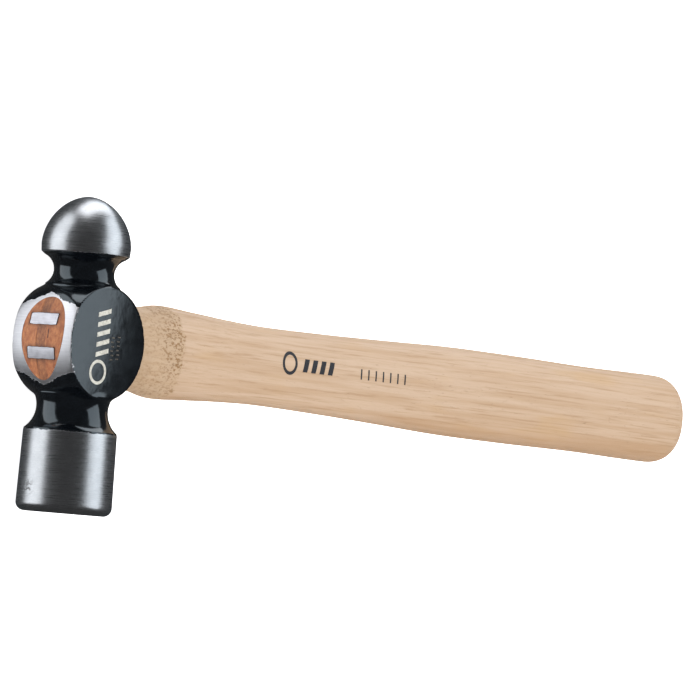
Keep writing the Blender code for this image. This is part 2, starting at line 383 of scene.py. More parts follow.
def barrel_radius(z):
    """Radius of the body round the eye, at a distance z from its middle."""
    sag = BODY_RADIUS - CHEEK_RADIUS
    bend = (CHEEK_HALF_WIDTH**2 + sag**2) / (2.0 * sag)
    return BODY_RADIUS - bend + np.sqrt(bend**2 - np.minimum(np.abs(z), bend * 0.9) ** 2)


def crown_place(y, z):
    """How far the ground top of the eye is from the head's axis, at a height y and z from its middle."""
    y = np.minimum(np.abs(y), EYE_TOP_CROWN_RADIUS)
    fall = EYE_TOP_SIDE_FALL * (np.minimum(np.abs(z), CHEEK_HALF_WIDTH) / CHEEK_HALF_WIDTH) ** 2
    return EYE_TOP - EYE_TOP_CROWN_RADIUS + np.sqrt(EYE_TOP_CROWN_RADIUS**2 - y**2) - fall


def cheek_place(x, y):
    """How far the slightly domed cheek is from the hammer's middle plane."""
    return CHEEK_HALF_WIDTH - CHEEK_DOME * np.minimum(x**2 + y**2, BODY_RADIUS**2) / CHEEK_RADIUS**2


def body_reach(angle, y):
    """How far the body round the eye reaches from the head's axis in each direction."""
    low, high = np.zeros_like(angle), np.full_like(angle, 1.5 * BODY_RADIUS)
    for _ in range(26):
        middle = 0.5 * (low + high)
        x, z = middle * np.cos(angle), middle * np.sin(angle)
        inside = x**2 + y**2 <= barrel_radius(z) ** 2
        low, high = np.where(inside, middle, low), np.where(inside, high, middle)
    rise = np.maximum(np.abs(np.sin(angle)), 1e-6)
    to_cheek = cheek_place(CHEEK_HALF_WIDTH / rise * np.cos(angle), y) / rise
    reach = smooth_min(low, to_cheek, CHEEK_BLEND)
    towards_top = np.maximum(-np.cos(angle), 1e-6)
    ground = reach
    for _ in range(4):
        crown = crown_place(y, ground * np.sin(angle)) / towards_top
        ground = np.minimum(reach, crown)
    return np.where(towards_top > 0.2, smooth_min(reach, crown, CROWN_BLEND), reach)


def eye_outline(half_height, half_width, count):
    """The eye's egg-shaped outline as (y, z) rows."""
    turns = 2.0 * np.pi * np.arange(count) / count
    y = half_height * np.cos(turns)
    z = half_width * np.sin(turns) * (1.0 + EYE_EGG * np.cos(turns))
    return y, z + EYE_SHIFT + EYE_TILT * y


def eye_half_sizes(x):
    """Half height and half width of the eye where it is x from the head's axis."""
    if x < EYE_WAIST_PLACE:
        end, reach = EYE_TOP_OVAL, EYE_WAIST_PLACE + EYE_TOP
    else:
        end, reach = EYE_HANDLE_OVAL, BODY_RADIUS - EYE_WAIST_PLACE
    share = min(((x - EYE_WAIST_PLACE) / reach) ** 2, 1.3)
    return [waist + (wide - waist) * share for waist, wide in zip(EYE_WAIST_OVAL, end)]


def eye_cutter(material):
    """What the eye takes out of the head, slightly flared where it meets the ground top."""
    rows = []
    for x in np.linspace(-EYE_TOP - 4.0, BODY_RADIUS + 4.0, EYE_RINGS):
        y, z = eye_outline(*eye_half_sizes(x), EYE_POINTS)
        rows.append(np.stack([np.full_like(y, x), y, z], 1))
    faces = grid_faces(EYE_RINGS, EYE_POINTS) + end_faces(EYE_RINGS, EYE_POINTS)
    obj = new_object("eye_cutter", np.concatenate(rows), faces, material)
    face_outwards(obj)
    return obj


def face_outwards(obj):
    """Turns every face of a closed mesh outwards."""
    bm = bmesh.new()
    bm.from_mesh(obj.data)
    bmesh.ops.recalc_face_normals(bm, faces=bm.faces)
    bm.to_mesh(obj.data)
    bm.free()


def ground_reach(points):
    """How far inside the bare ground patch each point is, in millimetres, below 0 outside it."""
    x, y, z = points.T
    share = np.clip(1.0 - np.abs(z) / CHEEK_HALF_WIDTH, 0.0, 1.0)
    limit = GROUND_HALF_HEIGHT + GROUND_RISE * share**GROUND_RISE_POWER
    torn = 0.32 * roughness_of(points, 0.55, 3.0) + 0.4 * roughness_of(points, 2.2, 7.0)
    ends = limit - np.abs(y) + torn
    inside = CHEEK_HALF_WIDTH - CHEEK_DOME - np.abs(z)
    sides = 1.6 * inside - 0.15 + 0.22 * roughness_of(points, 0.8, 5.0)
    return np.minimum(np.minimum(ends, sides), -x - GROUND_BACK)


def bare_reach(points):
    """How far inside bare steel each point of the head is, in millimetres."""
    y = points[:, 1]
    torn = 0.16 * roughness_of(points, 0.7, 11.0) + 0.22 * roughness_of(points, 3.0, 13.0)
    ball = y - BALL_RIM_PLACE + torn
    face = FACE_SHOULDER_PLACE + 0.25 - y + torn
    return np.maximum(np.maximum(ball, face), ground_reach(points))


def build_head(material):
    profile = head_profile()
    angles = turn_angles()
    rings = []
    for radius, place in profile:
        if abs(place) < BODY_RADIUS:
            reach = smooth_max(np.full_like(angles, radius), body_reach(angles, place), CORE_BLEND)
        else:
            reach = np.full_like(angles, radius)
        x, y, z = reach * np.cos(angles), np.full_like(angles, place), reach * np.sin(angles)
        rings.append(np.stack([x, y, z], 1))
    points = np.concatenate(rings)
    count = len(angles)
    faces = grid_faces(len(rings), count) + end_faces(len(rings), count)
    head = new_object("forged_head", points, faces, material, HEAD_SHARP_ANGLE)
    face_outwards(head)
    cutter = eye_cutter(material)
    cut(head, cutter)
    drop(cutter)
    placed = local_points(head)
    store(head, "bare", bare_reach(placed))
    head.data.shade_smooth()
    head.data.set_sharp_from_angle(angle=math.radians(HEAD_SHARP_ANGLE))
    return head


# ---------------------------------------------------------------- handle

def between(before, start, stop, after, share):
    """A Catmull-Rom value between start and stop."""
    return 0.5 * (
        2.0 * start
        + (stop - before) * share
        + (2.0 * before - 5.0 * start + 4.0 * stop - after) * share**2
        + (3.0 * start - before - 3.0 * stop + after) * share**3
    )


def handle_sizes(x):
    """Half height, half width and roundness of the handle at a distance x from the head's axis."""
    first, last = HANDLE_STATIONS[0], HANDLE_STATIONS[-1]
    if x < TENON_END:
        half_height, half_width = eye_half_sizes(x)
        return half_height - SEEN_GAP, half_width - SEEN_GAP, 2.0
    if x < first[0]:
        share = (x - TENON_END) / (first[0] - TENON_END)
        inner = handle_sizes(TENON_END - 0.001)
        return tuple(a + (b - a) * share for a, b in zip(inner, first[1:]))
    if x >= last[0]:
        end = TOTAL_LENGTH - EYE_TOP
        along = min((x - (end - BUTT_ROUND_LENGTH)) / BUTT_ROUND_LENGTH, 1.0)
        inset = BUTT_ROUND_DEPTH * (1.0 - math.sqrt(max(1.0 - max(along, 0.0) ** 2, 0.0)))
        return last[1] - inset, last[2] - inset, last[3]
    padded = [first, *HANDLE_STATIONS, last]
    for before, start, stop, after in zip(padded, padded[1:], padded[2:], padded[3:]):
        if start[0] <= x < stop[0]:
            share = (x - start[0]) / (stop[0] - start[0])
            return tuple(between(*v, share) for v in zip(before[1:], start[1:], stop[1:], after[1:]))
    return last[1:]


def lean_at(x):
    """How far the handle's middle is off the eye's, where it is x from the head's axis."""
    return -HANDLE_LEAN * max(x - LEAN_START, 0.0)


def superellipse(half_height, half_width, power, count):
    """A rounded outline as (y, z) rows, an ellipse where power is 2 and squarer above it."""
    turns = 2.0 * np.pi * np.arange(count) / count
    c, s = np.cos(turns), np.sin(turns)
    y = half_height * np.sign(c) * np.abs(c) ** (2.0 / power)
    z = half_width * np.sign(s) * np.abs(s) ** (2.0 / power)
    return y, z


def handle_ring(x):
    """The handle's outline at a distance x from the head's axis, egg-shaped in the eye."""
    half_height, half_width, power = handle_sizes(x)
    y, z = superellipse(half_height, half_width, power, HANDLE_POINTS)
    if x < TENON_END:
        y, z = eye_outline(half_height, half_width, HANDLE_POINTS)
    elif x < HANDLE_STATIONS[0][0]:
        egg_y, egg_z = eye_outline(half_height, half_width, HANDLE_POINTS)
        share = (x - TENON_END) / (HANDLE_STATIONS[0][0] - TENON_END)
        y, z = egg_y + (y - egg_y) * share, egg_z + (z - egg_z) * share
    return np.stack([np.full_like(y, x), y + lean_at(x), z], 1)


def build_handle(material):
    end = TOTAL_LENGTH - EYE_TOP
    round_start = end - BUTT_ROUND_LENGTH
    body = list(np.arange(-EYE_TOP + 3.0, round_start, HANDLE_RING_STEP))
    butt = [round_start + BUTT_ROUND_LENGTH * math.sin(math.radians(a)) for a in range(0, 90, 6)]
    top_ring = handle_ring(-EYE_TOP)
    rings = []
    for i in range(CAP_RINGS):
        share = (i + 0.2) / CAP_RINGS
        ring = top_ring * np.array([1.0, share, share])
        ring[:, 0] = -crown_place(ring[:, 1], ring[:, 2])
        rings.append(ring)
    top_ring[:, 0] = -crown_place(top_ring[:, 1], top_ring[:, 2])
    rings.append(top_ring)
    rings += [handle_ring(x) for x in body + butt]
    last = handle_ring(end - 0.0001)
    middle = np.array([0.0, lean_at(end), 0.0])
    for share in (1.0, 0.9, 0.6, 0.3, 0.05):
        rings.append((last - middle) * np.array([1.0, share, share]) + middle)
    faces = grid_faces(len(rings), HANDLE_POINTS) + end_faces(len(rings), HANDLE_POINTS)
    handle = new_object("hickory_handle", np.concatenate(rings), faces, material, HANDLE_SHARP_ANGLE)
    face_outwards(handle)
    return handle


# ---------------------------------------------------------------- wedges

def wedge_grid(
    name, place, width, thickness, depth, along_y, grow, proud, material, z_shift, wobble=0.0,
):
    """A driven wedge with a crowned top that follows the ground eye, or the room for it."""
    across_count, run_count, depth_count = 9, 25, 12
    rows = []
    for k in range(depth_count):
        inward = depth * k / (depth_count - 1)
        thick = thickness[0] + (thickness[1] - thickness[0]) * inward / depth
        half_across, half_run = 0.5 * thick + grow, 0.5 * width + grow
        ring = rounded_rectangle(half_run, half_across, WEDGE_CORNER, run_count, across_count)
        if wobble:
            shift = np.array([
                noise.noise(Vector((p[0] * 0.9, p[1] * 0.9, place))) for p in ring
            ])
            ring = ring * (1.0 + wobble * shift[:, None] / np.array([half_run, half_across]))
        run, across = ring.T
        y, z = (place + run, across) if along_y else (place + across, run)
        z = z + z_shift
        x = -crown_place(y, z) - proud + inward
        rows.append(np.stack([x, y, z], 1))
    count = len(rows[0])
    top = rows[0]
    middle = top.mean(0)
    caps = []
    for share in (0.12, 0.35, 0.6, 0.85):
        ring = middle + (top - middle) * share
        ring[:, 0] = -crown_place(ring[:, 1], ring[:, 2]) - proud
        caps.append(ring)
    rows = caps + rows
    faces = grid_faces(len(rows), count) + end_faces(len(rows), count)
    obj = new_object(name, np.concatenate(rows), faces, material, HANDLE_SHARP_ANGLE)
    face_outwards(obj)
    return obj


def rounded_rectangle(half_run, half_across, corner, run_count, across_count):
    """A closed outline of a rectangle with rounded corners, as (run, across) rows."""
    corner = min(corner, 0.8 * half_run, 0.8 * half_across)
    sides = (
        ((half_run, -half_across + corner), (half_run, half_across - corner), 0.0, across_count),
        ((half_run - corner, half_across), (-half_run + corner, half_across), 90.0, run_count),
        ((-half_run, half_across - corner), (-half_run, -half_across + corner), 180.0, across_count),
        ((-half_run + corner, -half_across), (half_run - corner, -half_across), 270.0, run_count),
    )
    points = []
    for start, stop, turn, count in sides:
        start, stop = np.array(start), np.array(stop)
        points += [start + (stop - start) * i / count for i in range(count)]
        centre = stop - corner * np.array([math.cos(math.radians(turn)), math.sin(math.radians(turn))])
        for step in (0.0, 22.5, 45.0, 67.5):
            angle = math.radians(turn + step)
            points.append(centre + corner * np.array([math.cos(angle), math.sin(angle)]))
    return np.array(points)


# ---------------------------------------------------------------- marks

def plate_mesh(outline_rows, surface, proud, sunk):
    """A thin closed plate over a grid of (x, y) rows, following surface(x, y)."""
    rows, columns = len(outline_rows), len(outline_rows[0])
    flat = np.array(outline_rows).reshape(-1, 2)
    height = surface(flat[:, 0], flat[:, 1])
    top = np.column_stack([flat, height + proud])
    bottom = np.column_stack([flat, height - sunk])
    count = len(flat)
    faces = [tuple(face) for face in grid_faces(rows, columns, close=False)]
    faces += [tuple(count + v for v in reversed(face)) for face in faces]
    rim = list(range(columns))
    rim += [i * columns + columns - 1 for i in range(1, rows)]
    rim += [(rows - 1) * columns + j for j in range(columns - 2, -1, -1)]
    rim += [i * columns for i in range(rows - 2, 0, -1)]
    for a, b in zip(rim, rim[1:] + rim[:1]):
        faces.append((b, a, count + a, count + b))
    return np.concatenate([top, bottom]), faces


def ring_mesh(centre, outer, inner, surface, proud, sunk, steps=72):
    """A thin closed ring on surface(x, y)."""
    turns = 2.0 * np.pi * np.arange(steps) / steps
    circles = []
    for radius, lift in ((outer, -sunk), (outer, proud), (inner, proud), (inner, -sunk)):
        x, y = centre[0] + radius * np.cos(turns), centre[1] + radius * np.sin(turns)
        circles.append(np.column_stack([x, y, surface(x, y) + lift]))
    return np.concatenate(circles), grid_faces(4, steps) + [
        (3 * steps + j, 3 * steps + (j + 1) % steps, (j + 1) % steps, j) for j in range(steps)
    ]


def slanted_bar(start, length_x, length_y, slant, along=3, across=10):
    """(x, y) rows of a bar whose far side in y is shifted by slant in x."""
    return [
        [(start[0] + length_x * i / along + slant * j / across, start[1] + length_y * j / across)
         for j in range(across + 1)]
        for i in range(along + 1)
    ]


def join_meshes(meshes):
    points, faces = [], []
    for part, part_faces in meshes:
        base = sum(len(p) for p in points)
        points.append(part)
        faces += [tuple(base + v for v in face) for face in part_faces]
    return np.concatenate(points), faces


def build_mark(name, meshes, material):
    obj = new_object(name, *join_meshes(meshes), material, 30.0)
    face_outwards(obj)
    return obj


def handle_surface(x, y):
    """Height of the handle's upper side over each (x, y)."""
    heights = []
    for along, across in zip(x, y):
        half_height, half_width, power = handle_sizes(along)
        share = max(1.0 - abs((across - lean_at(along)) / half_height) ** power, 0.0)
        heights.append(half_width * share ** (1.0 / power))
    return np.array(heights)


# ---------------------------------------------------------------- materials

class Recipe:
    """Writes one material's nodes, with places in the hammer's frame in millimetres."""

    def __init__(self, name):
        self.material = bpy.data.materials.new(name)
        self.material.use_nodes = True
        self.tree = self.material.node_tree
        self.shader = self.tree.nodes["Principled BSDF"]
        mapping = self.add("ShaderNodeMapping")
        mapping.inputs["Scale"].default_value = (1.0 / MM,) * 3
        mapping.inputs["Location"].default_value = -CENTRE / MM
        self.feed(self.add("ShaderNodeTexCoord").outputs["Object"], mapping.inputs["Vector"])
        self.place = mapping.outputs["Vector"]
        split = self.add("ShaderNodeSeparateXYZ")
        self.feed(self.place, split.inputs[0])
        self.x, self.y, self.z = split.outputs

    def add(self, kind, **settings):
        node = self.tree.nodes.new(kind)
        for key, value in settings.items():
            setattr(node, key, value)
        return node

    def feed(self, value, socket):
        if isinstance(value, bpy.types.NodeSocket):
            self.tree.links.new(value, socket)
        elif isinstance(value, tuple) and len(value) == 3 and socket.type == "RGBA":
            socket.default_value = (*value, 1.0)
        else:
            socket.default_value = value

    def attribute(self, name):
        return self.add("ShaderNodeAttribute", attribute_name=name).outputs["Fac"]

    def math(self, operation, a, b=0.0):
        node = self.add("ShaderNodeMath", operation=operation)
        self.feed(a, node.inputs[0])
        self.feed(b, node.inputs[1])
        return node.outputs[0]

    def noise(self, scale, detail=2.0, roughness=0.5, seed=0.0):
        """Noise about 0.5, with scale features a millimetre along x, y and z."""
        mapping = self.add("ShaderNodeMapping")
        mapping.inputs["Scale"].default_value = scale
        mapping.inputs["Location"].default_value = (seed, -seed, 2.0 * seed)
        self.feed(self.place, mapping.inputs["Vector"])
        node = self.add("ShaderNodeTexNoise")
        self.feed(mapping.outputs[0], node.inputs["Vector"])
        node.inputs["Scale"].default_value = 1.0
        node.inputs["Detail"].default_value = detail
        node.inputs["Roughness"].default_value = roughness
        return node.outputs["Fac"]

    def band(self, value, low, high, to_low=0.0, to_high=1.0):
        """Takes low..high to to_low..to_high, smoothly and no further."""
        node = self.add("ShaderNodeMapRange", interpolation_type="SMOOTHSTEP")
        for socket, given in zip(node.inputs, (value, low, high, to_low, to_high)):
            self.feed(given, socket)
        return node.outputs[0]

    def mix(self, share, a, b):
        """A colour from a to b."""
        node = self.add("ShaderNodeMix", data_type="RGBA")
        self.feed(share, node.inputs["Factor"])
        self.feed(a, node.inputs[6])
        self.feed(b, node.inputs[7])
        return node.outputs[2]

    def blend(self, share, a, b):
        """A number from a to b."""
        node = self.add("ShaderNodeMix", data_type="FLOAT")
        self.feed(share, node.inputs["Factor"])
        self.feed(a, node.inputs[2])
        self.feed(b, node.inputs[3])
        return node.outputs[0]

    def near(self, place, reach):
        """1 at a place, falling to 0 at reach millimetres from it."""
        node = self.add("ShaderNodeVectorMath", operation="DISTANCE")
        self.feed(self.place, node.inputs[0])
        self.feed(place, node.inputs[1])
        return self.band(node.outputs["Value"], reach, 0.0)

    def bump(self, height, depth):
        """Bumps depth millimetres deep where height goes from 0 to 1."""
        node = self.add("ShaderNodeBump")
        node.inputs["Distance"].default_value = depth * MM
        self.feed(height, node.inputs["Height"])
        return node.outputs["Normal"]

    def off_by(self, value, middle):
        """How far value is from middle, either way."""
        return self.math("ABSOLUTE", self.math("SUBTRACT", value, middle))

    def finish(self, colour, roughness, normal=None, metallic=0.0):
        self.feed(colour, self.shader.inputs["Base Color"])
        self.feed(roughness, self.shader.inputs["Roughness"])
        self.feed(metallic, self.shader.inputs["Metallic"])
        if normal is not None:
            self.feed(normal, self.shader.inputs["Normal"])
        return self.material


def lacquer_and_steel():
    """Black lacquer with turned steel at the ball and face, and a ground patch round the eye."""
    r = Recipe("lacquer_and_bare_steel")
    torn = r.math("MULTIPLY", r.math("SUBTRACT", r.noise((2.6, 2.6, 2.6), 3.0), 0.5), 0.5)
    edge = r.math("ADD", r.attribute("bare"), torn)
    bare = r.band(edge, -0.05, 0.05)
    ground = r.band(r.math("ABSOLUTE", r.y), 15.5, 14.8)
    lines = r.noise((0.12, 7.0, 0.12), 4.0, 0.65)
    cloud = r.noise((0.35, 0.35, 0.35), 3.0, seed=4.0)
    grain = r.noise((5.0, 5.0, 5.0), 2.0, seed=9.0)
    streaked = r.blend(0.5, lines, grain)
    turned = r.mix(r.band(streaked, 0.35, 0.65), (0.43, 0.44, 0.46), (0.58, 0.59, 0.61))
    turned = r.mix(r.band(cloud, 0.35, 0.7, 0.0, 0.45), turned, (0.40, 0.41, 0.43))
    flat = r.mix(r.band(lines, 0.3, 0.7), (0.76, 0.755, 0.79), (0.90, 0.895, 0.93))
    steel = r.mix(ground, turned, flat)
    lacquer = r.mix(r.band(cloud, 0.3, 0.7), (0.0018, 0.0024, 0.0034), (0.0032, 0.0042, 0.0058))
    steel_rough = r.math("ADD", r.blend(ground, 0.30, 0.44), r.band(lines, 0.3, 0.7, -0.04, 0.05))
    lacquer_rough = r.band(cloud, 0.3, 0.7, 0.11, 0.15)
    wear = r.band(edge, -0.12, 0.0, 0.0, 0.25)
    roughness = r.blend(bare, r.math("ADD", lacquer_rough, wear), steel_rough)
    steel_height = r.blend(0.6, lines, grain)
    peel = r.noise((0.55, 0.55, 0.55), 1.5, seed=2.0)
    height = r.blend(bare, r.math("MULTIPLY", peel, 1.6), r.math("MULTIPLY", steel_height, 0.9))
    lip = r.band(edge, -0.1, 0.08, 1.4, 0.0)
    nicked = 0.0
    for place, reach in NICKS:
        nicked = r.math("ADD", nicked, r.near(place, reach))
    nick_lines = r.band(r.off_by(r.noise((0.6, 0.6, 0.6), 1.0, seed=6.0), 0.5), 0.06, 0.02)
    scratched = r.math("MULTIPLY", nicked, nick_lines)
    steel = r.mix(r.math("MULTIPLY", scratched, 0.8), steel, (0.14, 0.135, 0.13))
    height = r.math("SUBTRACT", r.math("ADD", height, lip), r.math("MULTIPLY", scratched, 3.0))
    normal = r.bump(height, 0.012)
    r.shader.inputs["IOR"].default_value = LACQUER_IOR
    r.shader.inputs["Specular Tint"].default_value = LACQUER_TINT
    return r.finish(r.mix(bare, lacquer, steel), roughness, normal, bare)


def hickory():
    """Pale hickory with streaks along it, painted shade along its lower side, rough grain at its shoulder
    and brown end grain on top, darker at the wedges and the eye's rim from real stain and painted gap
    shade.
    """
    r = Recipe("pale_hickory")
    rings = r.noise((0.012, 0.42, 0.30), 3.0, 0.6)
    streaks = r.noise((0.03, 1.5, 1.1), 4.0, 0.6, seed=3.0)
    fibres = r.noise((0.14, 7.0, 6.0), 3.0, 0.6, seed=5.0)
    blotches = r.noise((0.03, 0.16, 0.16), 2.0, seed=7.0)
    colour = r.mix(r.band(rings, 0.38, 0.66), (0.575, 0.415, 0.293), (0.505, 0.340, 0.218))
    colour = r.mix(r.band(streaks, 0.50, 0.70, 0.0, 0.7), colour, (0.40, 0.245, 0.135))
    colour = r.mix(r.band(fibres, 0.35, 0.75, 0.0, 0.30), colour, (0.43, 0.295, 0.185))
    colour = r.mix(r.band(blotches, 0.55, 0.75, 0.0, 0.5), colour, (0.53, 0.345, 0.185))
    pores = r.noise((0.35, 5.5, 5.5), 1.0, seed=8.0)
    colour = r.mix(r.band(pores, 0.70, 0.76, 0.0, 0.5), colour, (0.33, 0.19, 0.095))
    # Painted shade: the handle's lower side, towards -y, is darkened in its colour, with a wavering edge.
    waver = r.math("MULTIPLY", r.noise((0.02, 0.4, 0.4), seed=6.0), 5.0)
    low = r.band(r.math("ADD", r.y, waver), -5.0, -10.5)
    colour = r.mix(r.math("MULTIPLY", low, 0.62), colour, (0.42, 0.24, 0.12))
    shoulder_edge = r.math("ADD", r.x, r.band(r.noise((0.3, 0.3, 0.3), seed=12.0), 0.3, 0.7, -1.0, 1.0))
    shoulder = r.math("MULTIPLY", r.band(shoulder_edge, 31.6, 30.2), r.band(r.x, 10.0, 17.0))
    nearer = r.math("MULTIPLY", shoulder, r.band(r.x, 16.0, 29.0, 0.25, 1.0))
    specks = r.noise((1.1, 1.5, 1.5), 3.0, 0.65, seed=14.0)
    patches = r.band(r.noise((0.16, 0.16, 0.16), 1.0, seed=15.0), 0.30, 0.55, 0.35, 1.0)
    specked = r.math("MULTIPLY", r.math("MULTIPLY", r.band(specks, 0.50, 0.60), nearer), patches)
    colour = r.mix(r.math("MULTIPLY", shoulder, 0.45), colour, (0.48, 0.335, 0.205))
    colour = r.mix(r.math("MULTIPLY", specked, 0.85), colour, (0.27, 0.145, 0.055))
    top = r.band(r.x, -4.0, -6.0)
    mottle = r.noise((0.5, 0.55, 1.0), 4.0, 0.65, seed=20.0)
    end = r.mix(r.band(mottle, 0.3, 0.7), (0.30, 0.088, 0.030), (0.50, 0.185, 0.062))
    flecks = r.noise((2.0, 2.2, 3.4), 2.0, seed=21.0)
    end = r.mix(r.band(flecks, 0.58, 0.72, 0.0, 0.6), end, (0.20, 0.06, 0.022))
    # Darker end grain next to the steel wedges and the eye's rim: real stain and painted gap shade.
    end = r.mix(r.attribute("stain_and_gap_shade"), end, (0.06, 0.02, 0.012))
    crack_width = r.band(r.off_by(r.z, CRACK_Z), 0.22, 0.10)
    crack = r.math("MULTIPLY", crack_width, r.band(r.off_by(r.y, CRACK_Y), CRACK_REACH, 0.9))
    end = r.mix(crack, end, (0.05, 0.018, 0.010))
    colour = r.mix(top, colour, end)
    height = r.math("ADD", r.math("MULTIPLY", fibres, 0.6), r.math("MULTIPLY", specked, -1.6))
    height = r.math("ADD", height, r.math("MULTIPLY", r.band(pores, 0.70, 0.76), -0.8))
    normal = r.bump(height, 0.05)
    roughness = r.blend(shoulder, r.band(streaks, 0.3, 0.7, 0.46, 0.58), 0.72)
    return r.finish(colour, roughness, normal)


def wedge_wood():
    """Darker wood, seen end on."""
    r = Recipe("brown_wedge_wood")
    mottle = r.noise((0.7, 0.8, 1.6), 4.0, 0.65, seed=31.0)
    flecks = r.noise((2.4, 2.4, 4.0), 2.0, seed=32.0)
    colour = r.mix(r.band(mottle, 0.3, 0.7), (0.20, 0.062, 0.024), (0.40, 0.15, 0.055))
    colour = r.mix(r.band(flecks, 0.55, 0.72, 0.0, 0.7), colour, (0.12, 0.04, 0.018))
    # Darker wedge wood next to the steel wedges and the eye's rim: real stain and painted gap shade.
    colour = r.mix(r.attribute("stain_and_gap_shade"), colour, (0.05, 0.018, 0.011))
    normal = r.bump(r.math("ADD", mottle, flecks), 0.05)
    return r.finish(colour, r.band(mottle, 0.3, 0.7, 0.45, 0.62), normal)


def wedge_steel():
    """Steel wedges dressed flush with the eye, brushed the same way."""
    r = Recipe("dressed_wedge_steel")
    lines = r.noise((0.3, 6.0, 0.3), 4.0, 0.65, seed=41.0)
    cloud = r.noise((0.6, 0.6, 0.6), 2.0, seed=42.0)
    colour = r.mix(r.band(lines, 0.3, 0.7), (0.54, 0.535, 0.58), (0.68, 0.67, 0.72))
    colour = r.mix(r.band(cloud, 0.45, 0.75, 0.0, 0.4), colour, (0.46, 0.455, 0.49))
    sides = r.band(r.attribute("under"), 0.15, 0.6)
    colour = r.mix(sides, colour, (0.16, 0.13, 0.13))
    normal = r.bump(r.math("ADD", lines, cloud), 0.02)
    return r.finish(colour, r.band(cloud, 0.3, 0.7, 0.40, 0.52), normal, 1.0)


def printed_ink():
    r = Recipe("printed_ink")
    wear = r.noise((1.6, 2.6, 2.6), 3.0, seed=51.0)
    colour = r.mix(r.band(wear, 0.55, 0.8), (0.012, 0.013, 0.018), (0.06, 0.05, 0.045))
    return r.finish(colour, r.band(wear, 0.3, 0.7, 0.45, 0.6), r.bump(wear, 0.02))


def cheek_paint():
    r = Recipe("cream_paint")
    wear = r.noise((1.8, 1.8, 1.8), 3.0, seed=61.0)
    colour = r.mix(r.band(wear, 0.35, 0.75), (0.62, 0.60, 0.53), (0.40, 0.38, 0.33))
    return r.finish(colour, r.band(wear, 0.3, 0.7, 0.4, 0.55), r.bump(wear, 0.02))


def faint_stamp():
    r = Recipe("faint_stamp")
    wear = r.noise((2.5, 2.5, 2.5), 2.0, seed=71.0)
    colour = r.mix(r.band(wear, 0.4, 0.6), (0.085, 0.068, 0.048), (0.035, 0.03, 0.025))
    return r.finish(colour, r.band(wear, 0.3, 0.7, 0.35, 0.5), r.bump(wear, 0.02))


def paper_floor(glow):
    """A plain pale sheet lit from below, so that shadows on it stay faint."""
    r = Recipe("pale_floor")
    mottle = r.noise((0.01, 0.01, 0.01), 1.0)
    r.feed(1.0, r.shader.inputs["Emission Strength"])
    r.feed((glow, glow, glow), r.shader.inputs["Emission Color"])
    return r.finish(r.mix(mottle, (0.83, 0.83, 0.83), (0.85, 0.85, 0.85)), 0.9)


# ---------------------------------------------------------------- building it

def keep(piece, slot, *nodes):
    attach(piece, "root")
    if nodes:
        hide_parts(*nodes)


def stain_and_gap_shade_at(obj, edge_reach, wedge_reach):
    """How dark the end grain is next to each steel wedge and the eye's rim, from 0 to 1: partly real
    stain, partly painted shade in the gaps round the wedges and the rim.

    The darkening reaches edge_reach millimetres in from the rim and wedge_reach out from a wedge.
    """
    points = local_points(obj)
    x, y, z = points.T
    near = np.full(len(points), 99.0)
    for place in STEEL_WEDGE_PLACES.values():
        away_y = np.maximum(np.abs(y - place) - 0.5 * STEEL_WEDGE_THICKNESS[0], 0.0)
        away_z = np.maximum(np.abs(z - STEEL_WEDGE_SHIFT) - 0.5 * STEEL_WEDGE_WIDTH, 0.0)
        near = np.minimum(near, np.hypot(away_y, away_z))
    by_wedge = np.clip(1.0 - near / wedge_reach, 0.0, 1.0) ** 1.5
    half_height, half_width = EYE_TOP_OVAL
    up = y / half_height
    aside = (z - EYE_SHIFT - EYE_TILT * y) / (half_width * (1.0 + EYE_EGG * up))
    rim = 1.0 - np.hypot(up, aside)
    by_rim = np.clip(1.0 - rim * half_width / edge_reach, 0.0, 1.0)
    cloud = 0.75 + 0.5 * roughness_of(points, 1.3, 17.0)
    return np.clip(np.maximum(by_wedge * 0.75, by_rim * 0.5) * cloud, 0.0, 1.0)


def build_wedges(handle, wood, steel):
    """Cuts the kerf and the wedge slots in the handle, and fills them."""
    kerf = wedge_grid(
        "kerf", 0.0, 2.0 * EYE_TOP_OVAL[0] + 3.0, WOOD_WEDGE_THICKNESS, WOOD_WEDGE_DEPTH + SLOT_EXTRA,
        True, WOOD_GROW, SLOT_PROUD, wood, EYE_SHIFT,
    )
    cut(handle, kerf)
    drop(kerf)
    wooden = wedge_grid(
        "wooden_wedge", 0.0, 2.0 * EYE_TOP_OVAL[0] - 0.7, WOOD_WEDGE_THICKNESS, WOOD_WEDGE_DEPTH,
        True, -WOOD_GROW, -0.05, wood, EYE_SHIFT,
    )
    steels = {}
    for node, place in STEEL_WEDGE_PLACES.items():
        slot = wedge_grid(
            "slot", place, STEEL_WEDGE_WIDTH, STEEL_WEDGE_THICKNESS, STEEL_WEDGE_DEPTH + SLOT_EXTRA,
            False, STEEL_GROW, SLOT_PROUD, wood, STEEL_WEDGE_SHIFT, STEEL_WEDGE_WOBBLE,
        )
        cut(handle, slot)
        cut(wooden, slot)
        drop(slot)
        piece = wedge_grid(
            STEEL_PIECES[node], place, STEEL_WEDGE_WIDTH, STEEL_WEDGE_THICKNESS, STEEL_WEDGE_DEPTH,
            False, -STEEL_GROW, STEEL_WEDGE_PROUD, steel, STEEL_WEDGE_SHIFT, STEEL_WEDGE_WOBBLE,
        )
        x, y, z = local_points(piece).T
        store(piece, "under", x + crown_place(y, z) + STEEL_WEDGE_PROUD)
        steels[node] = piece
    return wooden, steels


